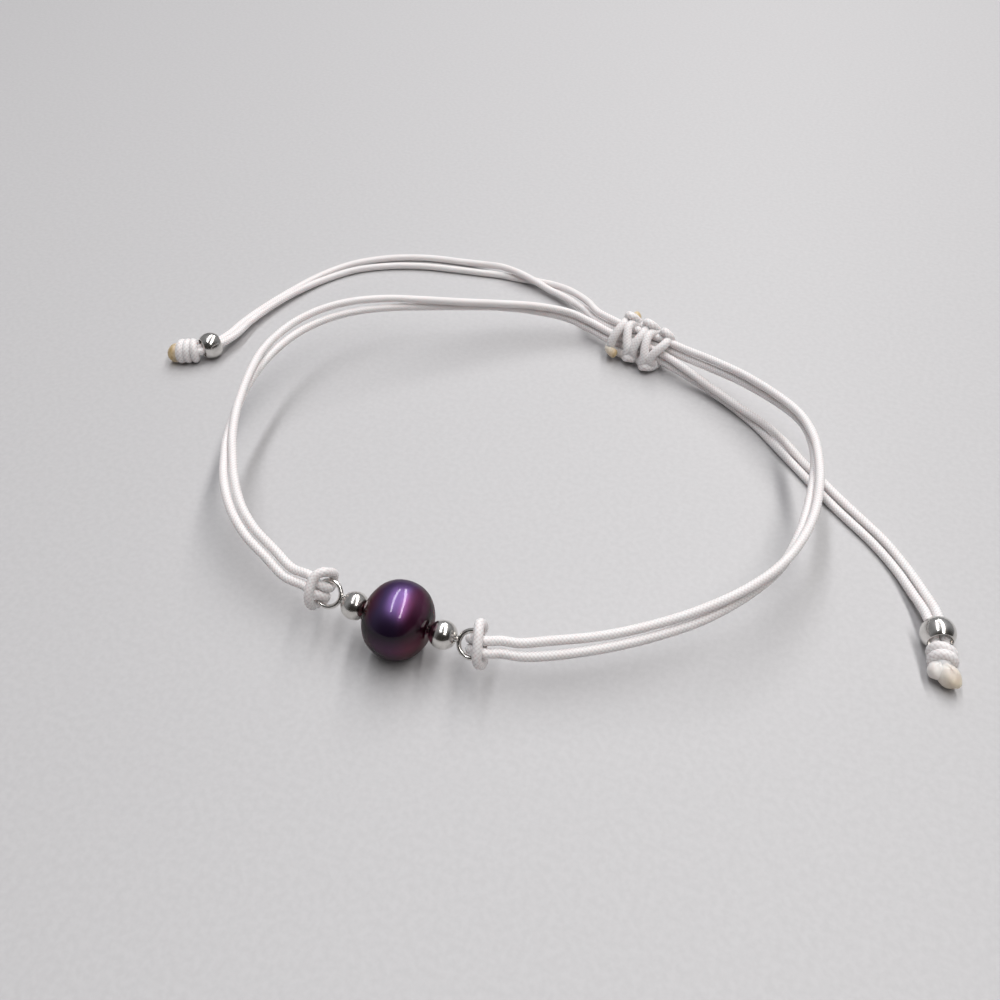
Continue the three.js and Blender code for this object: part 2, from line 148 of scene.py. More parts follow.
# Beads: the rim of a hole is given out of the hole and down from the edge, as shares of the lip
FLANK_BEAD_RADIUS = 1.5
FLANK_BEAD_HOLE = 0.42
FLANK_BEAD_LIP = 0.1
FLANK_BEAD_OFFSET = 4.98
FLANK_BEAD_SEGMENTS = 64
TAIL_BEAD_RADIUS = 1.8
TAIL_BEAD_HOLE = 1.2
TAIL_BEAD_LIP = 0.12
TAIL_BEAD_SEGMENTS = 72
BEAD_RINGS = 40
BEAD_RIM = [(0.45, 0.1), (0.1, 0.5), (0.0, 1.2)]

# Wire, with an eye at each end
WIRE_RADIUS = 0.25
WIRE_SIDES = 16
WIRE_STATIONS = 9
EYE_RADIUS = 1.38
EYE_STEPS = 64
EYE_OFFSET = 8.15
EYE_RISE = {"left": 0.35, "right": 0.0}
EYE_TILT = math.radians(45)
HITCH_SWING = math.radians(12)
PIN_HEIGHT = PEARL_RADIUS

# Sliding knot: its place, heading and lean, and how each pair of strands lies and rolls in it
SLIDE_CENTRE = np.array([7.4, 59.0, 2.75])
SLIDE_HEADING = math.radians(-13)
SLIDE_LEAN = math.radians(46)
SLIDE_STRAND_HALF = 4.75
SLIDE_PAIR_OFFSET = 0.85
SLIDE_PAIR_SPREAD = 1.13
SLIDE_ROLL = {"right": 100, "left": 80}
SLIDE_TUCK = 1.4
SLIDE_FRONT_RADIUS = 0.6
SLIDE_FRONT_SINGED = 2.2
SLIDE_BACK_RADIUS = 0.56
SLIDE_BACK_SINGED = 2.4

# Tail ends: where the bead sits, and which way its hole points in degrees
TAIL_ENDS = {
    "right": {"bead": (51.1, 21.5), "heading": -73},
    "left": {"bead": (-47.7, 36.4), "heading": -123},
}
STRAND_INSIDE_BEAD = 1.25
STRAND_GAP_IN_BEAD = 0.06

# Stopper knots: places are along and across from the bead's middle, and turns are in degrees.
# A wrap is its start and its slope, the core is its place and half length, and a lobe has half
# sizes along, across and up, and a singe that is 0 where it stays white.
STOPPERS = {
    "right": {
        "turn": -6,
        "wrap_radius": 0.98,
        "wraps": [(2.5, 0.3), (3.45, 0.12)],
        "core": (3.3, 0.0, 1.5),
        "lobes": [
            {"at": (4.5, -0.6), "half": (1.15, 0.9, 0.9), "turn": -10, "singe": 0.2},
            {"at": (4.95, 0.4), "half": (1.7, 1.1, 1.05), "turn": 30, "singe": 0.6},
        ],
    },
    "left": {
        "turn": -30,
        "wrap_radius": 1.12,
        "wraps": [(2.35, -0.15), (3.2, 0.1), (4.0, 0.2)],
        "core": (3.2, 0.0, 1.5),
        "lobes": [
            {"at": (4.7, 0.0), "half": (1.35, 1.3, 1.25), "turn": 0, "singe": 1.3},
        ],
    },
}
STOPPER_CORD_RADIUS = 0.56
NECK_RANGE = (0.9, 2.7)
NECK_POINTS = 6
NECK_RADIUS = 0.48
NECK_OFFSET = 0.5
NECK_CLOSING = 0.12
WRAP_RANGE = (-110, 270)
WRAP_POINTS = 20

# Rounded lumps of the stopper knots
LUMP_SIDES = 32
LUMP_RINGS = 20
# The lumps take a colour near the crowns' on the yarn ramp, so they carry little painted shade
LUMP_CROWN = 0.8
CORE_RIPPLE = 0.02
LOBE_RIPPLE = 0.06
LOBE_DROP = 0.25
SINGE_MIDDLE = 0.5
SINGE_SWING = 0.6

# Routes of the pairs: x, y and z of the pair's middle, the pair's turn about its own run in
# degrees, and how far apart the two strands are.
LOOP_ROUTES = {
    "right": [
        (13.0, 0.9, 4.55, 41, 1.3),
        (15.5, 2.1, 4.6, 38, 1.45),
        (20.0, 4.6, 4.8, 38, 1.25),
        (24.0, 7.3, 5.2, 42, 1.15),
        (28.3, 10.9, 5.8, 62, 1.15),
        (32.0, 15.3, 6.4, 88, 1.15),
        (34.3, 19.5, 6.8, 102, 1.15),
        (35.4, 24.0, 7.1, 122, 1.15),
        (35.7, 28.0, 7.3, 135, 1.15),
        (35.5, 32.3, 7.4, 126, 1.15),
        (34.9, 36.6, 7.3, 106, 1.15),
        (33.8, 41.0, 7.0, 88, 1.15),
        (31.7, 45.2, 6.6, 76, 1.15),
        (28.3, 49.0, 5.8, 82, 1.15),
        (23.0, 53.1, 4.8, 94, 1.15),
        (18.0, 55.7, 4.1, 104, 1.15),
        (14.6, 57.3, 3.6, 102, 1.13),
    ],
    "left": [
        (-13.4, 1.0, 4.7, 146, 1.2),
        (-16.3, 2.2, 5.3, 155, 1.2),
        (-19.6, 3.7, 5.8, 160, 1.2),
        (-22.7, 5.9, 6.3, 170, 1.2),
        (-25.4, 8.8, 6.8, 172, 1.2),
        (-27.4, 11.7, 7.1, 158, 1.15),
        (-29.2, 14.8, 7.5, 138, 1.15),
        (-30.7, 18.2, 7.8, 118, 1.15),
        (-31.9, 21.6, 8.0, 108, 1.15),
        (-32.9, 25.2, 8.2, 95, 1.15),
        (-33.6, 29.0, 8.3, 70, 1.15),
        (-33.7, 33.0, 8.3, 50, 1.25),
        (-33.1, 37.3, 8.2, 50, 1.4),
        (-31.6, 41.3, 8.0, 56, 1.45),
        (-29.0, 44.8, 7.8, 58, 1.4),
        (-25.5, 48.0, 7.3, 66, 1.25),
        (-21.5, 50.8, 6.6, 92, 1.15),
        (-17.0, 53.6, 5.9, 114, 1.15),
        (-12.5, 56.7, 5.0, 122, 1.15),
        (-8.0, 59.2, 4.1, 108, 1.15),
        (-3.5, 60.8, 3.1, 92, 1.15),
        (-0.5, 60.7, 2.4, 84, 1.13),
    ],
}
TAIL_ROUTES = {
    "right": [
        (14.5, 56.0, 1.85, 96, 1.13),
        (17.5, 54.8, 1.4, 110, 1.13),
        (20.7, 53.1, 1.2, 112, 1.13),
        (24.0, 51.1, 1.08, 105, 1.13),
        (27.0, 49.0, 1.07, 80, 1.13),
        (30.0, 46.6, 0.84, 30, 1.2),
        (33.0, 43.9, 0.53, 0, 1.35),
        (38.7, 38.5, 0.53, 0, 1.5),
        (43.8, 34.0, 0.53, 0, 1.45),
        (46.7, 30.6, 0.6, 0, 1.3),
        (48.8, 27.1, 1.05, 5, 1.2),
        (50.0, 24.7, 1.55, 10, 1.1),
    ],
    "left": [
        (0.3, 62.2, 3.1, 112, 1.15),
        (-2.5, 65.3, 2.4, 126, 1.2),
        (-6.0, 68.1, 1.7, 140, 1.25),
        (-9.5, 69.9, 1.2, 170, 1.25),
        (-12.5, 70.8, 1.1, 215, 1.15),
        (-15.3, 71.2, 1.1, 262, 1.15),
        (-18.5, 71.6, 1.0, 310, 1.3),
        (-22.0, 71.6, 0.7, 350, 2.0),
        (-26.0, 71.2, 0.53, 360, 2.5),
        (-31.0, 70.2, 0.53, 360, 2.6),
        (-36.0, 68.1, 0.53, 360, 2.4),
        (-40.3, 64.8, 0.53, 360, 1.9),
        (-43.3, 60.2, 0.55, 360, 1.4),
        (-45.3, 54.5, 0.75, 375, 1.15),
        (-46.5, 49.0, 0.9, 378, 1.13),
        (-46.9, 44.0, 1.2, 374, 1.1),
        (-46.6, 40.2, 1.6, 368, 1.1),
    ],
}

# Path of each hitch round its eye, from one strand through the folded end to the other: along
# the pin from the eye's middle, across the strands, and out of the eye's plane.
HITCH_ROUTES = {
    "left": [
        (2.95, 0.62, 0.05),
        (2.2, 0.57, 0.4),
        (1.72, 0.55, 0.74),
        (1.2, 0.54, 0.88),
        (0.72, 0.52, 0.66),
        (0.38, 0.48, 0.12),
        (0.36, 0.5, -0.4),
        (0.55, 0.95, -0.97),
        (0.75, 1.5, -1.0),
        (0.75, 1.88, -0.6),
        (0.8, 2.03, 0.1),
        (0.9, 2.0, 0.8),
        (1.05, 1.97, 1.2),
        (1.52, 1.37, 1.52),
        (1.58, 0.51, 1.64),
        (1.42, -0.4, 1.62),
        (1.25, -1.17, 1.33),
        (1.1, -1.75, 0.7),
        (1.05, -1.95, 0.0),
        (0.92, -1.63, -0.75),
        (0.55, -1.0, -1.0),
        (0.36, -0.5, -0.42),
        (0.38, -0.48, 0.12),
        (0.72, -0.52, 0.66),
        (1.2, -0.54, 0.88),
        (1.72, -0.55, 0.74),
        (2.2, -0.57, 0.4),
        (2.95, -0.62, 0.05),
    ],
    "right": [
        (2.95, 0.62, 0.05),
        (2.2, 0.55, 0.4),
        (1.72, 0.52, 0.74),
        (1.2, 0.55, 0.88),
        (0.4, 0.6, 0.68),
        (-0.15, 0.55, 0.12),
        (-0.18, 0.57, -0.42),
        (0.25, 0.85, -0.96),
        (0.73, 1.53, -0.97),
        (0.87, 1.95, -0.5),
        (0.9, 2.15, 0.2),
        (0.87, 2.12, 0.85),
        (0.97, 1.5, 1.37),
        (1.06, 0.43, 1.62),
        (1.03, -0.69, 1.55),
        (0.95, -1.4, 1.2),
        (0.98, -1.85, 0.6),
        (1.08, -1.92, -0.15),
        (1.02, -1.47, -0.87),
        (0.4, -0.85, -0.99),
        (-0.16, -0.5, -0.42),
        (-0.15, -0.49, 0.12),
        (0.4, -0.54, 0.68),
        (1.2, -0.62, 0.88),
        (1.72, -0.7, 0.74),
        (2.2, -0.7, 0.4),
        (2.95, -0.62, 0.05),
    ],
}

# Sliding knot's two working cords: along the knot, across it, and out of its front face.
SLIDE_FRONT_CORD = [
    (-1.62, 3.6, -0.7),
    (-2.27, 2.97, -0.7),
    (-2.64, 2.07, 0.3),
    (-2.54, 1.26, 1.4),
    (-2.82, -0.36, 1.75),
    (-3.1, -1.71, 1.35),
    (-3.0, -2.43, 0.4),
    (-2.36, -2.43, -0.1),
    (-1.35, -2.43, 0.0),
    (-0.7, -2.34, 0.8),
    (-0.47, -1.8, 1.45),
    (-1.03, -0.36, 1.75),
    (-1.58, 1.08, 1.5),
    (-1.53, 1.89, 0.7),
    (-1.07, 2.07, -0.2),
    (-0.15, 2.07, -0.3),
    (0.54, 1.89, 0.4),
    (0.77, 1.17, 1.35),
    (0.54, -0.27, 1.75),
    (0.31, -1.62, 1.4),
    (0.35, -2.16, 0.5),
    (0.95, -2.34, -0.1),
    (1.69, -2.61, 0.2),
    (2.19, -2.61, 1.0),
    (2.29, -1.98, 1.5),
    (1.96, -0.72, 1.75),
    (1.6, 0.81, 1.5),
    (1.69, 1.62, 0.7),
    (2.24, 1.89, -0.2),
    (3.25, 1.8, -0.3),
    (3.99, 1.53, 0.4),
    (4.26, 0.81, 1.3),
    (3.67, -0.63, 1.7),
    (3.16, -1.8, 1.35),
    (3.21, -2.34, 0.5),
    (3.53, -1.98, -0.5),
]
SLIDE_BACK_CORD = [
    (-1.81, -2.97, 0.9),
    (-2.45, -2.88, 1.0),
    (-3.19, -2.52, 1.0),
    (-3.56, -1.98, -0.2),
    (-3.46, -1.35, -1.2),
    (-3.28, 0.18, -1.6),
    (-3.1, 1.62, -1.3),
    (-2.91, 2.52, -0.2),
    (-2.64, 2.75, 0.7),
    (-2.18, 2.7, 1.15),
    (-1.67, 2.66, 1.0),
    (-1.26, 2.48, 0.0),
    (-1.16, 1.98, -1.0),
    (-0.98, 0.18, -1.6),
    (-0.8, -1.44, -1.2),
    (-0.7, -2.43, -0.4),
    (-0.57, -2.79, 0.5),
    (-0.11, -2.75, 1.0),
    (0.35, -2.61, 0.5),
    (0.54, -1.98, -0.8),
    (0.45, -0.36, -1.5),
    (0.26, 1.44, -1.4),
    (0.12, 2.34, -0.4),
    (0.22, 2.66, 0.6),
    (0.77, 2.61, 1.15),
    (1.41, 2.52, 1.0),
    (1.78, 2.34, 0.1),
    (1.87, 1.8, -1.0),
    (1.96, 0.0, -1.6),
    (2.06, -1.53, -1.2),
    (2.01, -2.7, -0.3),
    (2.15, -3.11, 0.5),
    (2.7, -3.06, 0.9),
    (3.25, -2.79, 0.4),
    (3.44, -1.98, -0.8),
    (3.34, -0.27, -1.5),
    (3.16, 1.35, -1.3),
    (2.98, 2.07, -0.4),
    (3.11, 2.34, 0.6),
    (3.62, 2.21, 1.05),
    (4.22, 1.98, 0.8),
    (4.36, 1.53, -0.2),
    (4.08, 0.72, -1.1),
]


def in_frame(points):
    """Millimetres of the routes to metres of the frame."""
    return ORIGIN + np.asarray(points, float) * MM


def spline(points, per_span=12):
    """Points along a centripetal curve through the given points."""
    points = np.asarray(points, float)
    ends = np.vstack([2 * points[0] - points[1], points, 2 * points[-1] - points[-2]])
    gaps = np.sqrt(np.linalg.norm(np.diff(ends, axis=0), axis=1))
    shares = np.linspace(0, 1, per_span, endpoint=False)[:, None]
    run = []
    for i in range(len(points) - 1):
        before, start, end, after = ends[i:i + 4]
        gap_before, gap, gap_after = gaps[i:i + 3]
        across_start = (end - before) / (gap_before + gap)
        across_end = (after - start) / (gap + gap_after)
        leave = (start - before) / gap_before - across_start + (end - start) / gap
        reach = (end - start) / gap - across_end + (after - end) / gap_after
        leave = leave * gap
        reach = reach * gap
        square = -3 * start + 3 * end - 2 * leave - reach
        cube = 2 * start - 2 * end + leave + reach
        run.append(start + shares * (leave + shares * (square + shares * cube)))
    run.append(points[-1:])
    return np.vstack(run)


def even_steps(points, step, least=8):
    """The same line with points a step apart, and each point's distance along it."""
    length = np.concatenate([[0], np.cumsum(np.linalg.norm(np.diff(points, axis=0), axis=1))])
    count = max(least, int(round(length[-1] / step)))
    at = np.linspace(0, length[-1], count + 1)
    return np.column_stack([np.interp(at, length, points[:, axis]) for axis in range(3)]), at


def pair_of_strands(route, per_span=20):
    """Both strands of a pair, from its middles, turns and spreads."""
    route = np.asarray(route, float)
    middles = route[:, :3]
    dense = spline(middles, per_span)
    stations = np.arange(len(route)) * per_span
    ahead = dense[np.minimum(stations + 1, len(dense) - 1)]
    behind = dense[np.maximum(stations - 1, 0)]
    runs = ahead - behind
    runs /= np.linalg.norm(runs, axis=1)[:, None]
    aside = np.cross([0, 0, 1], runs)
    aside /= np.linalg.norm(aside, axis=1)[:, None]
    above = np.cross(runs, aside)
    turns = np.radians(route[:, 3])[:, None]
    offsets = (aside * np.cos(turns) + above * np.sin(turns)) * route[:, 4:5] / 2
    return middles + offsets, middles - offsets


def turning_frames(points, nearly_upright=0.1):
    """Two directions across the line at each of its points, carried along without twist."""
    runs = np.gradient(points, axis=0)
    runs /= np.linalg.norm(runs, axis=1)[:, None]
    first = np.cross(runs[0], [0.0, 0.0, 1.0])
    if np.linalg.norm(first) < nearly_upright:
        first = np.cross(runs[0], [0.0, 1.0, 0.0])
    across = np.empty_like(points)
    across[0] = first / np.linalg.norm(first)
    for i in range(1, len(points)):
        side = across[i - 1] - runs[i] * np.dot(across[i - 1], runs[i])
        across[i] = side / np.linalg.norm(side)
    return across, np.cross(runs, across)


def round_turns(sides):
    """Angles of a ring's points."""
    return np.linspace(0, 2 * np.pi, sides, endpoint=False)


def braid_height(along, around):
    """Height of the braid's yarns, 0 in the crossings and 1 on a crown."""
    first = BRAID_YARNS * around / (2 * np.pi) + along / BRAID_PITCH
    second = BRAID_YARNS * around / (2 * np.pi) - along / BRAID_PITCH
    first_off = first - np.floor(first + 0.5)
    second_off = second - np.floor(second + 0.5)
    first_on_top = (np.floor(first + 0.5) + np.floor(second + 0.5)) % 2 == 0
    across = np.where(first_on_top, first_off, second_off)
    along_yarn = np.where(first_on_top, second_off, first_off)
    across_height = np.cos(np.pi * across) ** YARN_ACROSS_POWER
    return across_height * np.cos(np.pi * along_yarn * YARN_ALONG_SHARE) ** YARN_ALONG_POWER


def new_object(name, data):
    """A new object in the scene."""
    made = bpy.data.objects.new(name, data)
    bpy.context.scene.collection.objects.link(made)
    return made


class MeshParts:
    """Points, faces and two weights that grow into one mesh."""

    def __init__(self):
        self.points = []
        self.faces = []
        self.crown = []
        self.singe = []
        self.count = 0

    def add(self, points, faces, crown=0.7, singe=0.0):
        """Take in more points and faces; a weight is one value or one for each point."""
        points = np.asarray(points, float)
        self.points.append(points)
        self.faces.extend([tuple(int(corner) + self.count for corner in face) for face in faces])
        self.crown.append(np.broadcast_to(crown, len(points)))
        self.singe.append(np.broadcast_to(singe, len(points)))
        self.count += len(points)

    def make(self, name, material):
        """The finished piece, riding on the root."""
        mesh = bpy.data.meshes.new(name)
        points = in_frame(np.vstack(self.points))
        mesh.from_pydata(points.tolist(), [], self.faces)
        for label, values in (("crown", self.crown), ("singe", self.singe)):
            weight = mesh.attributes.new(label, "FLOAT", "POINT")
            weight.data.foreach_set("value", np.concatenate(values).astype(np.float32))
        mesh.polygons.foreach_set("use_smooth", [True] * len(mesh.polygons))
        mesh.materials.append(material)
        piece = new_object(name, mesh)
        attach(piece, "root")
        return piece


def grid_faces(rings, sides, closed_ends=True):
    """Faces that join a row of rings, with a cap at each end if the ends are closed."""
    faces = []
    for ring in range(rings - 1):
        base = ring * sides
        for side in range(sides):
            after = (side + 1) % sides
            faces.append((base + side, base + after, base + sides + after, base + sides + side))
    if closed_ends:
        faces.append(tuple(reversed(range(sides))))
        faces.append(tuple(range((rings - 1) * sides, rings * sides)))
    return faces


def add_braid(parts, points, radius=CORD_RADIUS, singed=0.0):
    """A braided cord along the points; singed is how far its first end is melted."""
    centres, along = even_steps(spline(points), BRAID_STEP)
    centres[:, 2] = np.maximum(centres[:, 2], radius + FLOOR_CLEARANCE)
    across, above = turning_frames(centres)
    around = round_turns(BRAID_SIDES)
    height = braid_height(along[:, None], around[None, :])
    to_end = np.minimum(along, along[-1] - along)
    inwards = np.minimum(to_end / (END_ROUNDING * radius), 1)
    rounding = np.sqrt(np.clip(1 - (1 - inwards) ** 2, END_LEAST_SQUARE, 1))
    melt = np.clip(1 - along / singed, 0, 1) if singed else 0 * along
    relief = BRAID_RELIEF * (height - BRAID_MIDDLE_HEIGHT) * (1 - melt)[:, None]
    reach = (radius + relief + MELT_SWELL * melt[:, None]) * rounding[:, None]
    rings = (
        centres[:, None, :]
        + reach[:, :, None] * np.cos(around)[None, :, None] * across[:, None, :]
        + reach[:, :, None] * np.sin(around)[None, :, None] * above[:, None, :]
    )
    parts.add(
        rings.reshape(-1, 3),
        grid_faces(len(centres), BRAID_SIDES),
        crown=height.ravel(),
        singe=np.repeat(melt, BRAID_SIDES),
    )
    return centres


def add_lathe(parts, outline, segments, axis, middle):
    """A closed round body from a closed outline of radius and distance along its axis."""
    axis = np.asarray(axis, float) / np.linalg.norm(axis)
    side = np.cross(axis, [0, 0, 1])
    side /= np.linalg.norm(side)
    above = np.cross(side, axis)
    turns = round_turns(segments)[None, :, None]
    outwards = np.cos(turns) * side + np.sin(turns) * above
    outline = np.asarray(outline, float)
    rings = (
        np.asarray(middle, float)
        + outline[:, None, 1:2] * axis
        + outline[:, None, 0:1] * outwards
    )
    rings = np.vstack([rings, rings[:1]])
    parts.add(rings.reshape(-1, 3), grid_faces(len(rings), segments, closed_ends=False))


def add_wire(parts, points, closed=False):
    """Round wire along the points; a closed one joins its last point to its first."""
    points = np.asarray(points, float)
    across, above = turning_frames(points)
    turns = round_turns(WIRE_SIDES)[None, :, None]
    outwards = np.cos(turns) * across[:, None] + np.sin(turns) * above[:, None]
    rings = points[:, None] + WIRE_RADIUS * outwards
    if closed:
        rings = np.vstack([rings[:-1], rings[:1]])
    faces = grid_faces(len(rings), WIRE_SIDES, closed_ends=not closed)
    parts.add(rings.reshape(-1, 3), faces)


def add_lump(parts, middle, half_sizes, heading, ripple, singe):
    """A rounded lump, turned to its heading in degrees, with a slightly uneven skin."""
    rises = np.linspace(-np.pi / 2, np.pi / 2, LUMP_RINGS)
    rise, turn = np.meshgrid(rises, round_turns(LUMP_SIDES), indexing="ij")
    uneven = 1 + ripple * np.sin(3 * turn + 2 * rise) * np.cos(2 * rise + 1)
    x = half_sizes[0] * np.cos(rise) * np.cos(turn) * uneven
    y = half_sizes[1] * np.cos(rise) * np.sin(turn) * uneven
    z = half_sizes[2] * np.sin(rise) * uneven
    angle = math.radians(heading)
    turned_x = x * math.cos(angle) - y * math.sin(angle)
    turned_y = x * math.sin(angle) + y * math.cos(angle)
    points = np.stack([turned_x, turned_y, z], axis=-1).reshape(-1, 3) + np.asarray(middle)
    points[:, 2] = np.maximum(points[:, 2], FLOOR_CLEARANCE)
    forward = np.cos(rise) * np.cos(turn)
    tint = singe * np.clip(SINGE_MIDDLE + SINGE_SWING * forward, 0, 1)
    faces = grid_faces(LUMP_RINGS, LUMP_SIDES)
    parts.add(points, faces, crown=LUMP_CROWN, singe=tint.ravel())


def bead_outline(radius, hole, lip):
    """Closed outline of a drilled ball with a rolled lip at each mouth."""
    mouth = math.asin((hole + lip) / radius)
    turns = np.linspace(-math.pi / 2 + mouth, math.pi / 2 - mouth, BEAD_RINGS)
    ball = [(radius * math.cos(turn), radius * math.sin(turn)) for turn in turns]
    edge = radius * math.cos(mouth)
    rim = [(hole + lip * out, edge - lip * down) for out, down in BEAD_RIM]
    bore = [(hole, 0.0)]
    return ball + rim + bore + [(across, -along) for across, along in reversed(rim)]


def pearl_outline():
    """Closed outline of the drilled pearl, dimpled at both mouths."""
    other_half = [(across, -along) for across, along in reversed(PEARL_OUTLINE)]
    whole = PEARL_OUTLINE + [(1.0, 0.0)] + other_half
    smooth = spline([(across, along, 0) for across, along in whole], PEARL_OUTLINE_STEPS)
    outside = [(across * PEARL_RADIUS, along * PEARL_HALF_LENGTH) for across, along, _ in smooth]
    hole_edge = outside[-1][1] - PEARL_HOLE_EDGE
    return outside + [(PEARL_HOLE, hole_edge), (PEARL_HOLE, 0.0), (PEARL_HOLE, -hole_edge)]


def slide_point(along, across, out):
    """A point of the sliding knot, along it, across it and out of its front face."""
    heading_cos, heading_sin = math.cos(SLIDE_HEADING), math.sin(SLIDE_HEADING)
    lean_cos, lean_sin = math.cos(SLIDE_LEAN), math.sin(SLIDE_LEAN)
    aside = across * lean_cos - out * lean_sin
    return SLIDE_CENTRE + np.array(
        [
            along * heading_cos - aside * heading_sin,
            along * heading_sin + aside * heading_cos,
            across * lean_sin + out * lean_cos,
        ]
    )


def slide_station(along, pair_side, turn):
    """A pair's place inside the sliding knot, as its routes give it."""
    return (*slide_point(along, pair_side * SLIDE_PAIR_OFFSET, 0.0), turn, SLIDE_PAIR_SPREAD)


def eye_point(name, along, across, out=0.0):
    """A point near an eye, along the wire from its middle, across the wire and out of its plane."""
    upward = across + EYE_RISE[name]
    return (
        SIDES[name] * (EYE_OFFSET + along),
        upward * math.cos(EYE_TILT) - out * math.sin(EYE_TILT),
        PIN_HEIGHT + upward * math.sin(EYE_TILT) + out * math.cos(EYE_TILT),
    )


def hitch_point(name, along, across, out):
    """A point of a hitch, which is swung round its eye's middle."""
    outward = along * math.cos(HITCH_SWING) - across * math.sin(HITCH_SWING)
    swung = across * math.cos(HITCH_SWING) + along * math.sin(HITCH_SWING)
    return eye_point(name, outward, swung, out)


def end_point(end, turn, along, across, up):
    """A point along and across from a tail bead's middle; past its mouth the knot bends off."""
    ahead, beside = along, across
    past = along - TAIL_BEAD_RADIUS
    if past > 0:
        bend = math.radians(turn)
        ahead = TAIL_BEAD_RADIUS + past * math.cos(bend) - across * math.sin(bend)
        beside = past * math.sin(bend) + across * math.cos(bend)
    heading = math.radians(end["heading"])
    return (
        end["bead"][0] + ahead * math.cos(heading) - beside * math.sin(heading),
        end["bead"][1] + ahead * math.sin(heading) + beside * math.cos(heading),
        up,
    )


def loop_points(name):
    """The whole folded cord of one side: in along one strand, round its eye, and back."""
    side = SIDES[name]
    reach = SLIDE_STRAND_HALF - SLIDE_TUCK
    turn = SLIDE_ROLL[name]
    stations = [slide_station(side * reach, side, turn), slide_station(-side * reach, side, turn)]
    upper, lower = pair_of_strands(LOOP_ROUTES[name] + stations)
    hitch = [hitch_point(name, *point) for point in HITCH_ROUTES[name]]
    return np.vstack([upper[::-1], hitch, lower])


def tail_strands(name):
    """Both strands of a tail, which carry on from the other side's loop."""
    side = SIDES[name]
    turn = SLIDE_ROLL["left" if name == "right" else "right"]
    start = slide_station(side * (SLIDE_STRAND_HALF - SLIDE_TUCK), -side, turn)
    last_turn = TAIL_ROUTES[name][-1][3]
    spread = 2 * CORD_RADIUS + STRAND_GAP_IN_BEAD
    inside = []
    for along in (-STRAND_INSIDE_BEAD, 0.0, STRAND_INSIDE_BEAD):
        place = end_point(TAIL_ENDS[name], 0, along, 0.0, TAIL_BEAD_RADIUS)
        inside.append((*place, last_turn, spread))
    return pair_of_strands([start] + TAIL_ROUTES[name] + inside)


# Materials


def new_material(name):
    """A material, its node tree and its shader."""
    material = bpy.data.materials.new(name)
    material.use_nodes = True
    tree = material.node_tree
    return material, tree, tree.nodes["Principled BSDF"]


def set_inputs(shader, values):
    """Set the shader's inputs by name."""
    for key, value in values.items():
        shader.inputs[key].default_value = value


def add_node(tree, kind, **values):
    """A node with its inputs and settings."""
    node = tree.nodes.new(kind)
    for key, value in values.items():
        if key in node.inputs:
            node.inputs[key].default_value = value
        else:
            setattr(node, key, value)
    return node


def colour_ramp(tree, source, stops):
    """Colours of the stops, picked by the source's value."""
    ramp = tree.nodes.new("ShaderNodeValToRGB")
    elements = ramp.color_ramp.elements
    while len(elements) < len(stops):
        elements.new(0.5)
    for element, (place, colour) in zip(elements, stops):
        element.position = place
        element.color = (*colour, 1.0)
    tree.links.new(source, ramp.inputs["Fac"])
    return ramp.outputs["Color"]


def mix_colours(tree, first, second, factor=None, blend="MIX"):
    """Mix of two colours; the second counts in full unless a factor is given."""
    mix = tree.nodes.new("ShaderNodeMix")
    mix.data_type = "RGBA"
    mix.blend_type = blend
    factor_input, first_input, second_input = (mix.inputs[place] for place in (0, 6, 7))
    if factor is None:
        factor_input.default_value = 1.0
    else:
        tree.links.new(factor, factor_input)
    tree.links.new(first, first_input)
    tree.links.new(second, second_input)
    return mix.outputs[2]


def noise(tree, scale, detail=4.0):
    """Noise over the object, with its scale per metre."""
    coordinates = tree.nodes.new("ShaderNodeTexCoord")
    texture = add_node(tree, "ShaderNodeTexNoise", Scale=scale, Detail=detail, Roughness=0.55)
    tree.links.new(coordinates.outputs["Object"], texture.inputs["Vector"])
    return texture.outputs["Fac"]


def bump(tree, shader, height, distance, strength):
    """Fine relief on the shader, with its distance in metres."""
    node = add_node(tree, "ShaderNodeBump", Strength=strength, Distance=distance)
    tree.links.new(height, node.inputs["Height"])
    tree.links.new(node.outputs["Normal"], shader.inputs["Normal"])


def cord_material():
    """White braided nylon, with painted shade in the crossings between its yarns, and brown where
    it is singed.
    """
    material, tree, shader = new_material("braided_nylon")
    # The crown weight picks the painted shade: darker in the crossings between yarns, white on the
    # crowns
    crown = add_node(tree, "ShaderNodeAttribute", attribute_name="crown")
    singe = add_node(tree, "ShaderNodeAttribute", attribute_name="singe")
    yarn_with_crevice_shade = colour_ramp(tree, crown.outputs["Fac"], YARN_COLOURS_WITH_CREVICE_SHADE)
    patches = colour_ramp(tree, noise(tree, scale=260.0), YARN_PATCHES)
    clean = mix_colours(tree, yarn_with_crevice_shade, patches, blend="MULTIPLY")
    melted = colour_ramp(tree, noise(tree, scale=900.0), MELTED_COLOURS)
    colour = mix_colours(tree, clean, melted, factor=singe.outputs["Fac"])
    tree.links.new(colour, shader.inputs["Base Color"])
    set_inputs(
        shader,
        {
            "Roughness": 0.5,
            "Sheen Weight": 0.2,
            "Sheen Roughness": 0.4,
            "Subsurface Weight": 0.25,
            "Subsurface Radius": (1.0, 0.75, 0.7),
            "Subsurface Scale": 0.0004,
        },
    )
    fibres = noise(tree, scale=14000.0, detail=2.0)
    bump(tree, shader, fibres, distance=0.00002, strength=0.5)
    return material


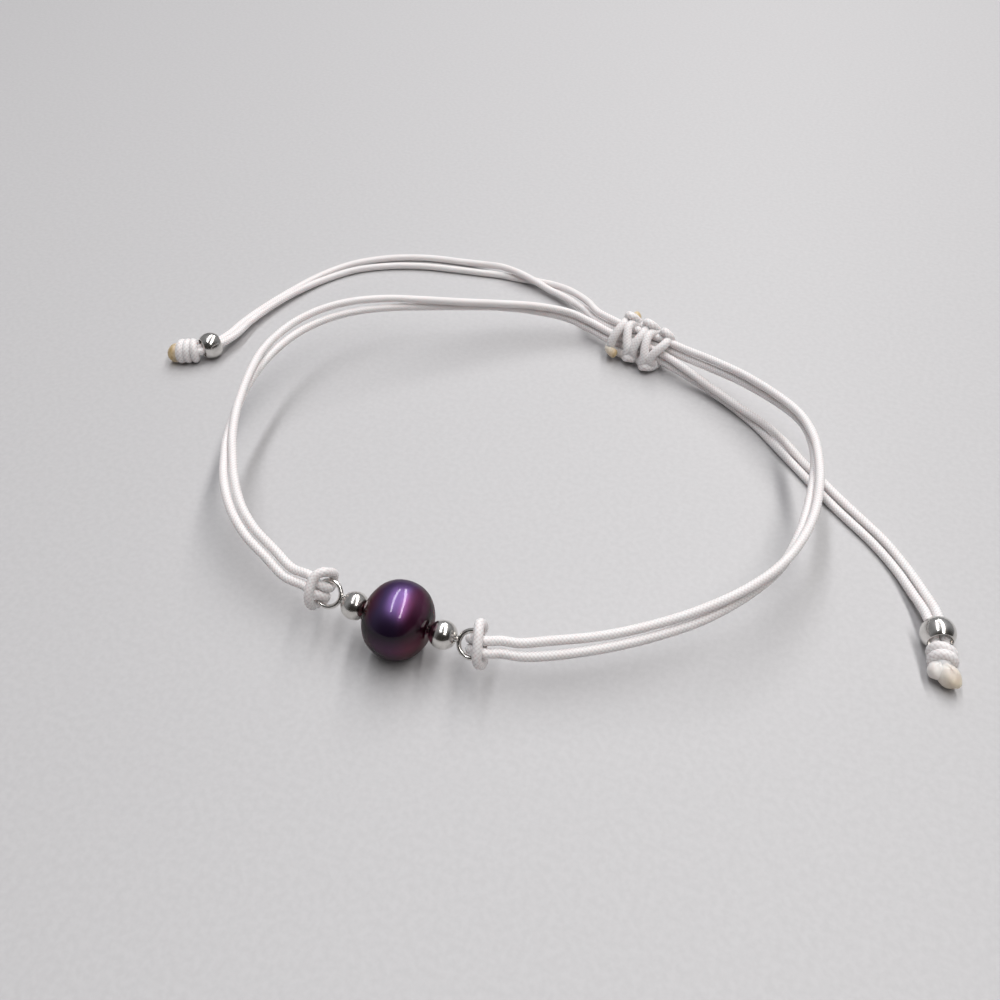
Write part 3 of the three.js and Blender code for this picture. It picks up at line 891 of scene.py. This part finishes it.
def silver_material():
    """Polished silver with faint tarnish and wear."""
    material, tree, shader = new_material("polished_silver")
    tarnish = noise(tree, scale=700.0, detail=6.0)
    colour = colour_ramp(tree, tarnish, SILVER_COLOURS)
    tree.links.new(colour, shader.inputs["Base Color"])
    smooth, worn = SILVER_ROUGHNESS
    wear = add_node(tree, "ShaderNodeMapRange", **{"To Min": smooth, "To Max": worn})
    tree.links.new(tarnish, wear.inputs["Value"])
    tree.links.new(wear.outputs["Result"], shader.inputs["Roughness"])
    set_inputs(shader, {"Metallic": 1.0})
    dents = noise(tree, scale=2600.0, detail=3.0)
    bump(tree, shader, dents, distance=0.000004, strength=0.6)
    return material


def pearl_material():
    """Dark nacre whose hue wanders along the hole, with painted shade by height: dim and reddish
    low down, a painted dark reflection above the middle, full brightness on top.
    """
    material, tree, shader = new_material("dark_nacre")
    coordinates = tree.nodes.new("ShaderNodeTexCoord")
    place = tree.nodes.new("ShaderNodeSeparateXYZ")
    tree.links.new(coordinates.outputs["Generated"], place.inputs["Vector"])
    wander = add_node(tree, "ShaderNodeMath", operation="MULTIPLY_ADD")
    tree.links.new(noise(tree, scale=220.0, detail=3.0), wander.inputs[0])
    wander.inputs[1].default_value = PEARL_HUE_WANDER
    tree.links.new(place.outputs["X"], wander.inputs[2])
    hue = colour_ramp(tree, wander.outputs["Value"], PEARL_HUES)
    # Painted shade: the pearl is darker low down and in a painted reflection band above the middle
    shade = colour_ramp(tree, place.outputs["Z"], PEARL_PAINTED_SHADE_BY_HEIGHT)
    colour = mix_colours(tree, hue, shade, blend="MULTIPLY")
    tree.links.new(colour, shader.inputs["Base Color"])
    set_inputs(
        shader,
        {
            "Metallic": 1.0,
            "Specular Tint": (0.3, 0.15, 0.25, 1.0),
            "Roughness": 0.4,
            "Coat Weight": 0.42,
            "Coat Roughness": 0.06,
            "Coat IOR": 1.7,
        },
    )
    lumps = noise(tree, scale=420.0, detail=3.0)
    bump(tree, shader, lumps, distance=0.00004, strength=0.6)
    return material


def floor_material():
    """Pale grey surface with a faint fleck."""
    material, tree, shader = new_material("pale_floor")
    fleck = colour_ramp(tree, noise(tree, scale=1500.0, detail=3.0), FLOOR_COLOURS)
    tree.links.new(fleck, shader.inputs["Base Color"])
    set_inputs(shader, {"Roughness": 0.5})
    grain = noise(tree, scale=4500.0, detail=2.0)
    bump(tree, shader, grain, distance=0.000004, strength=0.3)
    return material


# Pieces


def make_pearl(material):
    """The drilled pearl."""
    parts = MeshParts()
    add_lathe(parts, pearl_outline(), PEARL_SEGMENTS, (1, 0, 0), (0, 0, PIN_HEIGHT))
    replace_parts(parts.make("pearl_nacre", material), "pearl")


def make_flank_beads(material):
    """The small silver beads on both sides of the pearl."""
    outline = bead_outline(FLANK_BEAD_RADIUS, FLANK_BEAD_HOLE, FLANK_BEAD_LIP)
    for name, side in SIDES.items():
        parts = MeshParts()
        middle = (side * FLANK_BEAD_OFFSET, 0, PIN_HEIGHT)
        add_lathe(parts, outline, FLANK_BEAD_SEGMENTS, (1, 0, 0), middle)
        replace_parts(parts.make(f"flank_bead_{name}", material), f"bead_{name}")


def make_eye_pin(material):
    """The wire through the pearl, with its two eyes."""
    parts = MeshParts()
    reach = EYE_OFFSET - EYE_RADIUS
    add_wire(parts, [(x, 0, PIN_HEIGHT) for x in np.linspace(-reach, reach, WIRE_STATIONS)])
    turns = np.linspace(0, 2 * np.pi, EYE_STEPS + 1)
    for name in SIDES:
        ring = eye_point(name, EYE_RADIUS * np.cos(turns), EYE_RADIUS * np.sin(turns))
        add_wire(parts, np.column_stack(ring), closed=True)
    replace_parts(parts.make("eye_pin_wire", material), "eye_pin")


def make_loops(material):
    """The folded cord of each side."""
    for name in SIDES:
        parts = MeshParts()
        add_braid(parts, loop_points(name))
        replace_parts(parts.make(f"loop_cord_{name}", material), f"cord_{name}")


def make_sliding_knot(material):
    """The square-knot sinnet, tied from two cords."""
    parts = MeshParts()
    front = [slide_point(*point) for point in SLIDE_FRONT_CORD]
    back = [slide_point(*point) for point in SLIDE_BACK_CORD]
    add_braid(parts, front, SLIDE_FRONT_RADIUS, SLIDE_FRONT_SINGED)
    add_braid(parts, back, SLIDE_BACK_RADIUS, SLIDE_BACK_SINGED)
    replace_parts(parts.make("sliding_knot_cords", material), "sliding_knot")


def add_neck(parts, end, turn, side, middle):
    """One strand from inside the bead to the height of its stopper knot's middle."""
    neck = []
    alongs = np.linspace(*NECK_RANGE, NECK_POINTS)
    for along, share in zip(alongs, np.linspace(0, 1, NECK_POINTS)):
        across = side * (NECK_OFFSET - NECK_CLOSING * share)
        up = TAIL_BEAD_RADIUS + share * (middle - TAIL_BEAD_RADIUS)
        neck.append(end_point(end, turn, along, across, up))
    add_braid(parts, neck, NECK_RADIUS)


def add_stopper(parts, end, knot):
    """Stopper knot of both strands: neck, wraps round a core, and melted lobes."""
    turn = knot["turn"]
    reach = knot["wrap_radius"]
    middle = reach + STOPPER_CORD_RADIUS + FLOOR_CLEARANCE
    for side in SIDES.values():
        add_neck(parts, end, turn, side, middle)
    for start, slope in knot["wraps"]:
        wrap = []
        for angle in np.radians(np.linspace(*WRAP_RANGE, WRAP_POINTS)):
            along = start + slope * math.cos(angle) * reach
            up = middle + reach * math.sin(angle)
            wrap.append(end_point(end, turn, along, reach * math.cos(angle), up))
        add_braid(parts, wrap, STOPPER_CORD_RADIUS)
    heading = end["heading"] + turn
    along, across, half = knot["core"]
    place = end_point(end, turn, along, across, middle)
    add_lump(parts, place, (half, reach, reach), heading, CORE_RIPPLE, singe=0.0)
    for lobe in knot["lobes"]:
        up = max(lobe["half"][2], middle - LOBE_DROP)
        place = end_point(end, turn, *lobe["at"], up)
        lobe_heading = heading + lobe["turn"]
        add_lump(parts, place, lobe["half"], lobe_heading, LOBE_RIPPLE, lobe["singe"])


def make_tail(name, cord_look, silver_look):
    """The bead, the stopper knot and both strands of one tail."""
    end = TAIL_ENDS[name]
    heading = math.radians(end["heading"])
    bead_parts = MeshParts()
    add_lathe(
        bead_parts,
        bead_outline(TAIL_BEAD_RADIUS, TAIL_BEAD_HOLE, TAIL_BEAD_LIP),
        TAIL_BEAD_SEGMENTS,
        (math.cos(heading), math.sin(heading), 0),
        (*end["bead"], TAIL_BEAD_RADIUS),
    )
    bead = bead_parts.make(f"tail_silver_bead_{name}", silver_look)
    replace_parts(bead, f"tail_bead_{name}")

    knot_parts = MeshParts()
    add_stopper(knot_parts, end, STOPPERS[name])
    knot = knot_parts.make(f"stopper_knot_{name}", cord_look)
    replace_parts(knot, f"end_knot_{name}")

    for index, points in enumerate(tail_strands(name), start=1):
        parts = MeshParts()
        centres = in_frame(add_braid(parts, points))
        strand = parts.make(f"tail_cord_{name}_{index}", cord_look)
        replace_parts(strand, f"tail_{name}_strand_{index}")


# Stage


def make_floor(material):
    """The surface that the bracelet lies on."""
    half = FLOOR_HALF * MM
    corners = [(-half, -half, 0), (half, -half, 0), (half, half, 0), (-half, half, 0)]
    mesh = bpy.data.meshes.new("floor")
    mesh.from_pydata(corners, [], [(0, 1, 2, 3)])
    mesh.materials.append(material)
    new_object("floor", mesh)


def add_window(name, window):
    """A long area light between two places, turned towards the bracelet."""
    start, end = np.asarray(window["start"], float), np.asarray(window["end"], float)
    middle = (start + end) / 2
    length = np.linalg.norm(end - start)
    along = (end - start) / length
    back = middle - np.asarray(LIGHTS_AIM, float)
    back -= along * np.dot(back, along)
    back /= np.linalg.norm(back)
    light = bpy.data.lights.new(name, "AREA")
    light.shape = "RECTANGLE"
    light.size = window["width"] * MM
    light.size_y = length * MM
    light.energy = window["watts"]
    light.color = window["colour"]
    turned = Matrix(np.column_stack([np.cross(along, back), along, back]).tolist()).to_4x4()
    turned.translation = in_frame(middle).tolist()
    new_object(name, light).matrix_world = turned


def make_room():
    """Pale room, darker low down on the side that the camera looks from."""
    world = bpy.data.worlds.new("room")
    bpy.context.scene.world = world
    world.use_nodes = True
    tree = world.node_tree
    coordinates = tree.nodes.new("ShaderNodeTexCoord")
    facing = add_node(tree, "ShaderNodeVectorMath", operation="DOT_PRODUCT")
    tree.links.new(coordinates.outputs["Generated"], facing.inputs[0])
    facing.inputs[1].default_value = ROOM_DARK_SIDE
    shade = colour_ramp(tree, facing.outputs["Value"], ROOM_COLOURS)
    background = tree.nodes["Background"]
    tree.links.new(shade, background.inputs["Color"])
    background.inputs["Strength"].default_value = ROOM_STRENGTH


def make_camera():
    """The photo's camera."""
    lens = bpy.data.cameras.new("camera")
    lens.lens = CAMERA_LENS
    lens.sensor_width = SENSOR_WIDTH
    lens.sensor_fit = "HORIZONTAL"
    lens.clip_start = 0.001
    lens.clip_end = 10.0
    camera = new_object("camera", lens)
    camera.location = in_frame(CAMERA_PLACE).tolist()
    camera.rotation_euler = (math.radians(90 - CAMERA_ELEVATION), 0.0, math.radians(CAMERA_AZIMUTH))
    bpy.context.scene.camera = camera


def build():
    """The whole bracelet and its stage."""
    make_camera()
    cord_look = cord_material()
    silver_look = silver_material()
    for name in SIDES:
        make_tail(name, cord_look, silver_look)
    make_loops(cord_look)
    make_sliding_knot(cord_look)
    make_pearl(pearl_material())
    make_flank_beads(silver_look)
    make_eye_pin(silver_look)
    make_floor(floor_material())
    make_room()
    for name, window in WINDOWS.items():
        add_window(name, window)
    bpy.context.scene.view_settings.view_transform = "Standard"


build()
